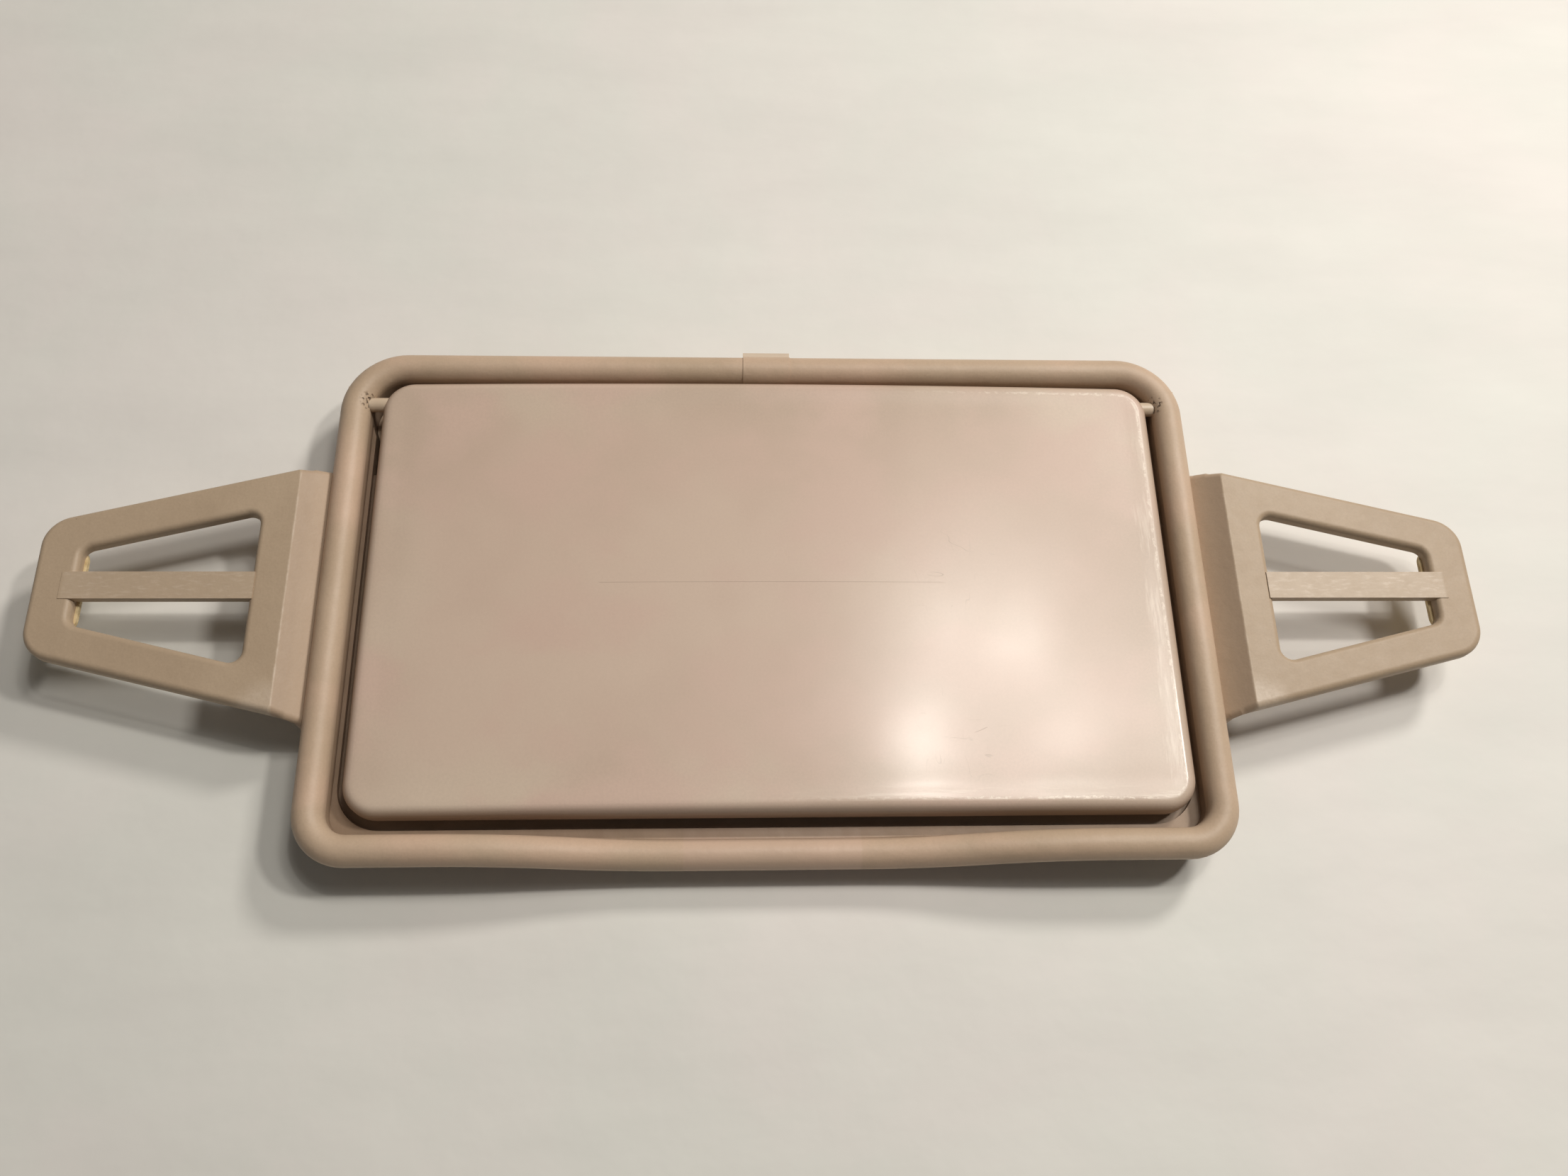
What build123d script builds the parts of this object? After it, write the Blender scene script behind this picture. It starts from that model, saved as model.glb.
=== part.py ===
"""Pill counting tray: a rimmed tray with two wing handles and a leaf that lifts on two stub pins.

Millimetres. X runs from handle tip to handle tip, Y from the pouring lip (-Y) to the hinge
side (+Y), and Z is up from the surface that the feet stand on. The tray is the same on both
sides of X = 0; only the leaf sits a little to the right, because it has end play.
"""
from build123d import *
from math import asin, cos, sin, sqrt
import os

# Tray frame: a rounded rectangle of half-round rim, hollow underneath
FRAME_LENGTH = 250.0
FRAME_DEPTH = 152.0
REAR_CORNER_RADIUS = 19.0
FRONT_CORNER_RADIUS = 14.5
BEAD_RADIUS = 4.2
BEAD_CENTRE_Z = 15.0
WALL = 2.0
LEG_DEPTH = 5.2

# Pouring lip: the front rim sinks in a smooth bow to a straight stretch in the middle
LIP_DROP = 6.3
LIP_BOW = 0.6
LIP_FLAT = 47.0
LIP_LENGTH = 180.0

# Ledge below the rim at the front and sides; it tapers out just ahead of the hinge pins
FRONT_LEDGE_WIDTH = 2.0
SIDE_LEDGE_WIDTH = 1.1
LEDGE_CORNER_RADIUS = 12.0
LEDGE_TOP_Z = 10.0
LEDGE_THICKNESS = 2.0
LEDGE_END_Y = 55.0
LEDGE_END_RUN = 3.3
STEP_WIDTH = 3.2
STEP_THICKNESS = 1.8
STEP_END_Y = 40.0

# Base pan and feet
FOOT_HEIGHT = 1.5
FOOT_RADIUS = 6.0
FOOT_EDGE_RADIUS = 0.5
FOOT_X = 88.0
FOOT_Y = 46.0
FLOOR_THICKNESS = 2.4
PAN_EDGE_RADIUS = 0.8
LOCATING_GAP = 0.2
LOCATING_RIB = 1.4
LOCATING_HEIGHT = 2.0
STIFFENER = 2.0
STIFFENER_HEIGHT = 2.4

# Posts and soft rests that carry the closed leaf
REST_X = 78.0
REST_Y = (-44.0, 16.0)
POST_RADIUS = 4.0
REST_RADIUS = 3.5
REST_HEIGHT = 1.6
REST_EDGE_RADIUS = 0.4
REST_GAP = 0.1

# Screws: countersunk, heads down, cross drive
SCREW_RADIUS = 1.4
SCREW_HEAD = 1.3
DRIVE_LENGTH = 3.0
DRIVE_WIDTH = 0.7
DRIVE_DEPTH = 0.8
BOSS_RADIUS = 3.5
BOSS_TOP_Z = 6.4
PAN_SCREW_TIP_Z = 6.0
PAN_SCREWS = [
    (-112.6, -62.6),
    (112.6, -62.6),
    (-112.6, 0.0),
    (112.6, 0.0),
    (-60.0, 64.6),
    (60.0, 64.6),
]

# Leaf: a crowned panel that closes the tray, hinged near its rear edge
LEAF_LENGTH = 226.8
LEAF_DEPTH = 129.4
LEAF_REAR_GAP = 1.6
LEAF_SHIFT = 0.8
LEAF_CORNER_RADIUS = 9.0
LEAF_BOTTOM_Z = 11.0
LEAF_EDGE_TOP_Z = 18.0
LEAF_CROWN = 1.8
LEAF_EDGE_RADIUS = 3.0
LEAF_UNDER_RADIUS = 1.2
LEAF_WALL = 2.6
LEAF_SHOULDER = 1.4
LEAF_POCKET_TOP_Z = 15.6
LEAF_RIB = 1.6
LEAF_RIB_X = (-56.0, 0.0, 56.0)
LEAF_RIB_Y = (-22.0, 22.0)
LEAF_BACK_THICKNESS = 1.5
LEAF_BACK_GAP = 0.1
LEAF_BOSS_RADIUS = 3.2
LEAF_SCREW_RADIUS = 1.0
LEAF_SCREW_HEAD = 0.9
LEAF_SCREW_TIP_Z = 15.0

# Hinge pins: pressed into the leaf, turning in sockets in the side rims
PIN_RADIUS = 2.1
PIN_BACK = 6.3
PIN_Z = 14.7
PIN_IN_LEAF = 11.0
PIN_OUT = 6.4
PIN_EDGE_RADIUS = 0.5
PIN_BLOCK_LENGTH = 15.0
PIN_BLOCK_WIDTH = 7.6
SOCKET_CLEARANCE = 0.06
SOCKET_END_X = 121.2
SOCKET_BLOCK = 9.6

# Wing handles
HANDLE_TOP_Z = 20.4
HANDLE_BOTTOM_Z = 16.9
HANDLE_ROOT_HALF = 38.1
HANDLE_TAPER = 0.25
HANDLE_TIP_X = 200.5
HANDLE_CORNER_RADIUS = 9.0
HANDLE_EDGE_RADIUS = 1.8
HANDLE_SKIN = 2.2
HANDLE_BORDER = 11.1
FACET_RUN = 7.3
FACET_FOOT_Z = 14.9
CREST_RADIUS = 0.8
WINDOW_START_X = 142.0
WINDOW_END_X = 189.0
WINDOW_CORNER_RADIUS = 3.2
WINDOW_EDGE_RADIUS = 1.7
GRIP_RIB_WIDTH = 7.9
GRIP_RIB_THICKNESS = 2.6
GRIP_RIB_RISE = 0.2
GRIP_RIB_START_X = 141.0
GRIP_RIB_END_X = 192.6
TONGUE_THICKNESS = 2.4
TONGUE_START_X = 118.9
WEB_THICKNESS = 2.2
HANDLE_BLOCK = 16.0
HANDLE_SCREW_Y = (-20.0, 20.0)
HANDLE_SCREW_TIP_Z = 15.6
FIT_GAP = 0.1

# Pads under the handle tips
PAD_THICKNESS = 1.2
PAD_START_X = 188.2
PAD_OVERHANG = 0.8
PAD_HALF = 12.5
PAD_CORNER_RADIUS = 4.0

# Clip over the middle of the rear rim
CLIP_WIDTH = 14.0
CLIP_THICKNESS = 0.25
CLIP_TAB_REACH = 2.1
CLIP_TAB_TOP_Z = 15.4
CLIP_TAB_HEIGHT = 1.4
CLIP_LOW_Z = 13.0

# Worked out from the dimensions above
PATH_LENGTH = FRAME_LENGTH - 2 * BEAD_RADIUS
PATH_DEPTH = FRAME_DEPTH - 2 * BEAD_RADIUS
CHANNEL_HALF = BEAD_RADIUS - WALL
BEAD_BOTTOM_Z = BEAD_CENTRE_Z - BEAD_RADIUS
INNER_INSET = 2 * BEAD_RADIUS
INNER_HALF_LENGTH = FRAME_LENGTH / 2 - INNER_INSET
INNER_FRONT_Y = INNER_INSET - FRAME_DEPTH / 2
FLOOR_TOP_Z = FOOT_HEIGHT + FLOOR_THICKNESS
REST_BASE_Z = LEAF_BOTTOM_Z - REST_GAP - REST_HEIGHT
REST_POINTS = [(x, y) for x in (-REST_X, REST_X) for y in REST_Y]
LEAF_REAR_Y = FRAME_DEPTH / 2 - INNER_INSET - LEAF_REAR_GAP
LEAF_CENTRE_Y = LEAF_REAR_Y - LEAF_DEPTH / 2
LEAF_BACK_TOP_Z = LEAF_BOTTOM_Z + LEAF_BACK_THICKNESS
LEAF_SCREWS = [
    (LEAF_SHIFT + x, LEAF_CENTRE_Y + y) for x in (LEAF_RIB_X[0], LEAF_RIB_X[2]) for y in LEAF_RIB_Y
]
PIN_Y = LEAF_REAR_Y - PIN_BACK
HANDLE_ROOT_X = FRAME_LENGTH / 2 + FIT_GAP
TONGUE_BOTTOM_Z = BEAD_BOTTOM_Z - TONGUE_THICKNESS
SIDES = (("left", -1), ("right", 1))


# ------------------------------------------------------------------ outlines in plan
def rounded(length, depth, rear_radius, front_radius):
    """A rectangle with one radius on its rear corners and another on its front corners."""
    with BuildSketch(mode=Mode.PRIVATE) as outline:
        Rectangle(length, depth)
        fillet(outline.vertices().group_by(Axis.Y)[-1], rear_radius)
        fillet(outline.vertices().group_by(Axis.Y)[0], front_radius)
    return outline.sketch_local


def frame_outline(inset):
    """The frame's outline, drawn in by an inset."""
    return rounded(
        FRAME_LENGTH - 2 * inset,
        FRAME_DEPTH - 2 * inset,
        REAR_CORNER_RADIUS - inset,
        FRONT_CORNER_RADIUS - inset,
    )


def cavity_outline(extra):
    """The tray's inside, widened by extra: behind the tapered end of the ledge it is wider."""
    wide = INNER_HALF_LENGTH + extra
    narrow = wide - SIDE_LEDGE_WIDTH
    rear_y = FRAME_DEPTH / 2
    wide_y = LEDGE_END_Y - extra
    narrow_y = wide_y - LEDGE_END_RUN
    front_y = INNER_FRONT_Y + FRONT_LEDGE_WIDTH - extra
    right = ((wide, rear_y), (wide, wide_y), (narrow, narrow_y))
    left = [(-x, y) for x, y in reversed(right)]
    with BuildSketch(mode=Mode.PRIVATE) as outline:
        Polygon(*right, *left, align=None)
        add(frame_outline(INNER_INSET - extra), mode=Mode.INTERSECT)
        with BuildSketch(mode=Mode.PRIVATE) as ledged:
            with Locations((0, (front_y + LEDGE_END_Y) / 2)):
                Rectangle(2 * narrow, LEDGE_END_Y - front_y)
            front_corners = ledged.vertices().group_by(Axis.Y)[0]
            fillet(front_corners, LEDGE_CORNER_RADIUS + extra)
        add(ledged.sketch_local)
    return outline.sketch_local


def leaf_outline(inset):
    """The leaf's outline, drawn in by an inset."""
    radius = LEAF_CORNER_RADIUS - inset
    with BuildSketch(mode=Mode.PRIVATE) as outline:
        with Locations((LEAF_SHIFT, LEAF_CENTRE_Y)):
            RectangleRounded(LEAF_LENGTH - 2 * inset, LEAF_DEPTH - 2 * inset, radius)
    return outline.sketch_local


def wing_outline(start_x, end_x, border, start_radius, end_radius):
    """A length of the tapered right wing, drawn in from its long edges by a border."""
    start_half = HANDLE_ROOT_HALF - HANDLE_TAPER * (start_x - HANDLE_ROOT_X) - border
    end_half = HANDLE_ROOT_HALF - HANDLE_TAPER * (end_x - HANDLE_ROOT_X) - border
    corners = (
        (start_x, -start_half),
        (end_x, -end_half),
        (end_x, end_half),
        (start_x, start_half),
    )
    with BuildSketch(mode=Mode.PRIVATE) as outline:
        Polygon(*corners, align=None)
        fillet(outline.vertices().group_by(Axis.X)[-1], end_radius)
        if start_radius:
            fillet(outline.vertices().group_by(Axis.X)[0], start_radius)
    return outline.sketch_local


# ------------------------------------------------------------------ centre line of the rim
def quarter(start, end, corner):
    """A quarter circle from start to end that rounds off the square corner between them."""
    centre = Vector(*start) + Vector(*end) - Vector(*corner)
    middle = centre + (Vector(*corner) - centre) * sqrt(0.5)
    return ThreePointArc(start, middle, end)


def lip_points():
    """The right half of the pouring lip, as the points of two arcs that meet in mid slope."""
    run = (LIP_LENGTH - LIP_FLAT) / 2
    drop = sqrt(LIP_DROP**2 + LIP_BOW**2)
    bend = (run**2 + drop**2) / (4 * drop)
    turn = asin(run / (2 * bend))
    reach = bend * sin(turn / 2)
    sag = bend * (1 - cos(turn / 2)) / drop
    steps = ((run, 0.0), (run - reach, sag), (run / 2, 0.5), (reach, 1 - sag), (0.0, 1.0))
    return [
        (LIP_FLAT / 2 + x, -PATH_DEPTH / 2 - LIP_BOW * part, BEAD_CENTRE_Z - LIP_DROP * part)
        for x, part in steps
    ]


def rim_path():
    """The closed centre line of the rim, with the bow of the pouring lip in its front run."""
    x = PATH_LENGTH / 2
    y = PATH_DEPTH / 2
    z = BEAD_CENTRE_Z
    rear = REAR_CORNER_RADIUS - BEAD_RADIUS
    front = FRONT_CORNER_RADIUS - BEAD_RADIUS
    right = lip_points()
    left = [(-point[0], point[1], point[2]) for point in right]
    with BuildLine(mode=Mode.PRIVATE) as path:
        Line((-x + rear, y, z), (x - rear, y, z))
        quarter((x - rear, y, z), (x, y - rear, z), (x, y, z))
        Line((x, y - rear, z), (x, -y + front, z))
        quarter((x, -y + front, z), (x - front, -y, z), (x, -y, z))
        Line((x - front, -y, z), right[0])
        ThreePointArc(right[0], right[1], right[2])
        ThreePointArc(right[2], right[3], right[4])
        Line(right[4], left[4])
        ThreePointArc(left[4], left[3], left[2])
        ThreePointArc(left[2], left[1], left[0])
        Line(left[0], (-x + front, -y, z))
        quarter((-x + front, -y, z), (-x, -y + front, z), (-x, -y, z))
        Line((-x, -y + front, z), (-x, y - rear, z))
        quarter((-x, y - rear, z), (-x + rear, y, z), (-x, y, z))
    return path.wire()


# ------------------------------------------------------------------ screws and posts
def screw_bodies(points, under_z, tip_z, radius, head):
    """Countersunk screws without their drives: also the shape of the holes that they fill."""
    with BuildPart(mode=Mode.PRIVATE) as group:
        for x, y in points:
            with BuildSketch(Plane.XZ.offset(-y)):
                with BuildLine():
                    Polyline(
                        (x, under_z),
                        (x + radius + head, under_z),
                        (x + radius, under_z + head),
                        (x + radius, tip_z),
                        (x, tip_z),
                        close=True,
                    )
                make_face()
            revolve(axis=Axis((x, y, 0), (0, 0, 1)))
    return group.part


def screws(points, under_z, tip_z, radius, head):
    """Countersunk screws with cross drives."""
    bodies = screw_bodies(points, under_z, tip_z, radius, head)
    scale = radius / SCREW_RADIUS
    with BuildPart(mode=Mode.PRIVATE) as group:
        add(bodies)
        with BuildSketch(Plane.XY.offset(under_z)):
            with Locations(*points):
                Rectangle(DRIVE_LENGTH * scale, DRIVE_WIDTH * scale)
                Rectangle(DRIVE_WIDTH * scale, DRIVE_LENGTH * scale)
        extrude(amount=DRIVE_DEPTH * scale, mode=Mode.SUBTRACT)
    return group.part


def finish(piece, name):
    """Label a finished piece and write it to its own file."""
    piece.label = name
    export_step(piece, f"parts/{name}.step")


def finish_pair(piece, name):
    """Write a right-hand piece and the left-hand piece that mirrors it."""
    finish(piece, f"{name}_right")
    finish(mirror(piece, about=Plane.YZ), f"{name}_left")


os.makedirs("parts", exist_ok=True)

pan_screw_bodies = screw_bodies(
    PAN_SCREWS, FOOT_HEIGHT, PAN_SCREW_TIP_Z, SCREW_RADIUS, SCREW_HEAD
)
handle_screws = [(PATH_LENGTH / 2, y) for y in HANDLE_SCREW_Y]
all_handle_screws = [(side * PATH_LENGTH / 2, y) for side in (-1, 1) for y in HANDLE_SCREW_Y]
handle_screw_bodies = screw_bodies(
    all_handle_screws, TONGUE_BOTTOM_Z, HANDLE_SCREW_TIP_Z, SCREW_RADIUS, SCREW_HEAD
)
leaf_screw_bodies = screw_bodies(
    LEAF_SCREWS, LEAF_BOTTOM_Z, LEAF_SCREW_TIP_Z, LEAF_SCREW_RADIUS, LEAF_SCREW_HEAD
)

# ------------------------------------------------------------------ tray frame
rim_start = Plane(
    origin=(-PATH_LENGTH / 2 + REAR_CORNER_RADIUS - BEAD_RADIUS, PATH_DEPTH / 2, BEAD_CENTRE_Z),
    x_dir=(0, -1, 0),
    z_dir=(-1, 0, 0),
)
with BuildPart() as tray_frame:
    # Rim: a half-round bead, open underneath, with a short leg on its inner side
    with BuildSketch(rim_start):
        Circle(BEAD_RADIUS)
        with Locations((BEAD_RADIUS - WALL / 2, -LEG_DEPTH / 2)):
            Rectangle(WALL, LEG_DEPTH)
        Circle(CHANNEL_HALF, mode=Mode.SUBTRACT)
        with Locations((0, -BEAD_RADIUS)):
            Rectangle(2 * CHANNEL_HALF, 2 * BEAD_RADIUS, mode=Mode.SUBTRACT)
    sweep(path=rim_path())
    # Ledge, and the wall that goes down from it to the base pan
    with BuildSketch(Plane.XY.offset(LEDGE_TOP_Z - LEDGE_THICKNESS)):
        add(frame_outline(BEAD_RADIUS + CHANNEL_HALF))
        add(cavity_outline(0.0), mode=Mode.SUBTRACT)
    extrude(amount=LEDGE_THICKNESS)
    with BuildSketch(Plane.XY.offset(FLOOR_TOP_Z)):
        add(cavity_outline(WALL))
        add(cavity_outline(0.0), mode=Mode.SUBTRACT)
    extrude(amount=LEDGE_TOP_Z - LEDGE_THICKNESS - FLOOR_TOP_Z)
    # Lower step that runs in from the ledge, under the front and sides of the closed leaf
    with BuildSketch(Plane.XY.offset(LEDGE_TOP_Z - LEDGE_THICKNESS - STEP_THICKNESS)):
        with Locations((0, STEP_END_Y - FRAME_DEPTH / 2)):
            Rectangle(FRAME_LENGTH, FRAME_DEPTH)
        add(cavity_outline(0.0), mode=Mode.INTERSECT)
        add(cavity_outline(-STEP_WIDTH), mode=Mode.SUBTRACT)
    extrude(amount=STEP_THICKNESS)
    # Blocks that fill the channel at the pin sockets and the handle screws
    with BuildSketch(Plane.XY.offset(BEAD_BOTTOM_Z)):
        for side in (-1, 1):
            with Locations((side * PATH_LENGTH / 2, PIN_Y)):
                Rectangle(2 * CHANNEL_HALF, SOCKET_BLOCK)
        with Locations(*all_handle_screws):
            Rectangle(2 * CHANNEL_HALF, HANDLE_BLOCK)
    extrude(amount=BEAD_RADIUS + CHANNEL_HALF)
    # Screw bosses at the foot of the wall
    with BuildSketch(Plane.XY.offset(FLOOR_TOP_Z)):
        with Locations(*PAN_SCREWS):
            Circle(BOSS_RADIUS)
    extrude(amount=BOSS_TOP_Z - FLOOR_TOP_Z)
    add(pan_screw_bodies, mode=Mode.SUBTRACT)
    add(handle_screw_bodies, mode=Mode.SUBTRACT)
    # Pin sockets, open to the inside of the tray
    for side in (-1, 1):
        with BuildSketch(Plane.YZ.offset(side * SOCKET_END_X)):
            with Locations((PIN_Y, PIN_Z)):
                Circle(PIN_RADIUS + SOCKET_CLEARANCE)
        extrude(amount=-side * 2 * BEAD_RADIUS, mode=Mode.SUBTRACT)
finish(tray_frame.part, "tray_frame")

# ------------------------------------------------------------------ base pan
with BuildPart() as base_pan:
    with BuildSketch(Plane.XY.offset(FOOT_HEIGHT)):
        add(cavity_outline(WALL))
    extrude(amount=FLOOR_THICKNESS)
    fillet(base_pan.edges().group_by(Axis.Z)[0], radius=PAN_EDGE_RADIUS)
    # Locating rib just inside the frame's wall, cut back round the screw bosses
    with BuildSketch(Plane.XY.offset(FLOOR_TOP_Z)):
        add(cavity_outline(-LOCATING_GAP))
        add(cavity_outline(-LOCATING_GAP - LOCATING_RIB), mode=Mode.SUBTRACT)
        with Locations(*PAN_SCREWS):
            Circle(BOSS_RADIUS + 2 * LOCATING_GAP, mode=Mode.SUBTRACT)
    extrude(amount=LOCATING_HEIGHT)
    # Posts under the leaf, tied together by low stiffening ribs
    with BuildSketch(Plane.XY.offset(FLOOR_TOP_Z)):
        with Locations(*REST_POINTS):
            Circle(POST_RADIUS)
    extrude(amount=REST_BASE_Z - FLOOR_TOP_Z)
    with BuildSketch(Plane.XY.offset(FLOOR_TOP_Z)):
        with Locations(*[(0, y) for y in REST_Y]):
            Rectangle(2 * REST_X, STIFFENER)
        with Locations(*[(x, sum(REST_Y) / 2) for x in (-REST_X, REST_X)]):
            Rectangle(STIFFENER, REST_Y[1] - REST_Y[0])
    extrude(amount=STIFFENER_HEIGHT)
    add(pan_screw_bodies, mode=Mode.SUBTRACT)
finish(base_pan.part, "base_pan")

pan_screws = screws(PAN_SCREWS, FOOT_HEIGHT, PAN_SCREW_TIP_Z, SCREW_RADIUS, SCREW_HEAD)
finish(pan_screws, "pan_screws")

# ------------------------------------------------------------------ feet and leaf rests
for row_name, y in (("front", -FOOT_Y), ("rear", FOOT_Y)):
    for side_name, side in SIDES:
        with BuildPart() as foot:
            with BuildSketch():
                with Locations((side * FOOT_X, y)):
                    Circle(FOOT_RADIUS)
            extrude(amount=FOOT_HEIGHT)
            fillet(foot.edges().group_by(Axis.Z)[0], radius=FOOT_EDGE_RADIUS)
        finish(foot.part, f"foot_{row_name}_{side_name}")

with BuildPart() as leaf_rests:
    with BuildSketch(Plane.XY.offset(REST_BASE_Z)):
        with Locations(*REST_POINTS):
            Circle(REST_RADIUS)
    extrude(amount=REST_HEIGHT)
    fillet(leaf_rests.edges().group_by(Axis.Z)[-1], radius=REST_EDGE_RADIUS)
finish(leaf_rests.part, "leaf_rests")

# ------------------------------------------------------------------ leaf
leaf_left_x = LEAF_SHIFT - LEAF_LENGTH / 2
leaf_right_x = LEAF_SHIFT + LEAF_LENGTH / 2
with BuildPart() as leaf_panel:
    # Crowned slab, cut to the rounded outline and rounded over along its edges
    with BuildSketch(Plane.XZ.offset(-LEAF_CENTRE_Y)):
        with BuildLine():
            Line((leaf_left_x, LEAF_BOTTOM_Z), (leaf_right_x, LEAF_BOTTOM_Z))
            Line((leaf_right_x, LEAF_BOTTOM_Z), (leaf_right_x, LEAF_EDGE_TOP_Z))
            ThreePointArc(
                (leaf_right_x, LEAF_EDGE_TOP_Z),
                (LEAF_SHIFT, LEAF_EDGE_TOP_Z + LEAF_CROWN),
                (leaf_left_x, LEAF_EDGE_TOP_Z),
            )
            Line((leaf_left_x, LEAF_EDGE_TOP_Z), (leaf_left_x, LEAF_BOTTOM_Z))
        make_face()
    extrude(amount=LEAF_DEPTH / 2, both=True)
    with BuildSketch(Plane.XY.offset(LEAF_BOTTOM_Z)):
        add(leaf_outline(0.0))
    extrude(amount=LEAF_EDGE_TOP_Z, mode=Mode.INTERSECT)
    fillet(leaf_panel.faces().sort_by(Axis.Z)[-1].edges(), radius=LEAF_EDGE_RADIUS)
    fillet(leaf_panel.faces().sort_by(Axis.Z)[0].edges(), radius=LEAF_UNDER_RADIUS)
    # Underside: a rebate for the back, then a pocket with ribs, screw bosses and pin blocks
    with BuildSketch(Plane.XY.offset(LEAF_BOTTOM_Z)):
        add(leaf_outline(LEAF_WALL))
    extrude(amount=LEAF_BACK_THICKNESS, mode=Mode.SUBTRACT)
    with BuildSketch(Plane.XY.offset(LEAF_BACK_TOP_Z)):
        add(leaf_outline(LEAF_WALL + LEAF_SHOULDER))
        with Locations(*[(LEAF_SHIFT + x, LEAF_CENTRE_Y) for x in LEAF_RIB_X]):
            Rectangle(LEAF_RIB, LEAF_DEPTH, mode=Mode.SUBTRACT)
        with Locations(*[(LEAF_SHIFT, LEAF_CENTRE_Y + y) for y in LEAF_RIB_Y]):
            Rectangle(LEAF_LENGTH, LEAF_RIB, mode=Mode.SUBTRACT)
        with Locations(*LEAF_SCREWS):
            Circle(LEAF_BOSS_RADIUS, mode=Mode.SUBTRACT)
        with Locations(
            (leaf_left_x + PIN_BLOCK_LENGTH / 2, PIN_Y),
            (leaf_right_x - PIN_BLOCK_LENGTH / 2, PIN_Y),
        ):
            Rectangle(PIN_BLOCK_LENGTH, PIN_BLOCK_WIDTH, mode=Mode.SUBTRACT)
    extrude(amount=LEAF_POCKET_TOP_Z - LEAF_BACK_TOP_Z, mode=Mode.SUBTRACT)
    add(leaf_screw_bodies, mode=Mode.SUBTRACT)
    for side, edge_x in ((-1, leaf_left_x), (1, leaf_right_x)):
        with BuildSketch(Plane.YZ.offset(edge_x)):
            with Locations((PIN_Y, PIN_Z)):
                Circle(PIN_RADIUS)
        extrude(amount=-side * PIN_IN_LEAF, mode=Mode.SUBTRACT)
finish(leaf_panel.part, "leaf_panel")

with BuildPart() as leaf_back:
    with BuildSketch(Plane.XY.offset(LEAF_BOTTOM_Z)):
        add(leaf_outline(LEAF_WALL + LEAF_BACK_GAP))
    extrude(amount=LEAF_BACK_THICKNESS)
    add(leaf_screw_bodies, mode=Mode.SUBTRACT)
finish(leaf_back.part, "leaf_back")

leaf_screws = screws(
    LEAF_SCREWS, LEAF_BOTTOM_Z, LEAF_SCREW_TIP_Z, LEAF_SCREW_RADIUS, LEAF_SCREW_HEAD
)
finish(leaf_screws, "leaf_screws")

for side_name, side in SIDES:
    inner_x = LEAF_SHIFT + side * (LEAF_LENGTH / 2 - PIN_IN_LEAF)
    with BuildPart() as hinge_pin:
        with BuildSketch(Plane.YZ.offset(inner_x)):
            with Locations((PIN_Y, PIN_Z)):
                Circle(PIN_RADIUS)
        extrude(amount=side * (PIN_IN_LEAF + PIN_OUT))
        ends = hinge_pin.edges().filter_by(GeomType.CIRCLE).sort_by(Axis.X)
        fillet(ends[0] if side < 0 else ends[-1], radius=PIN_EDGE_RADIUS)
    finish(hinge_pin.part, f"hinge_pin_{side_name}")

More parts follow.
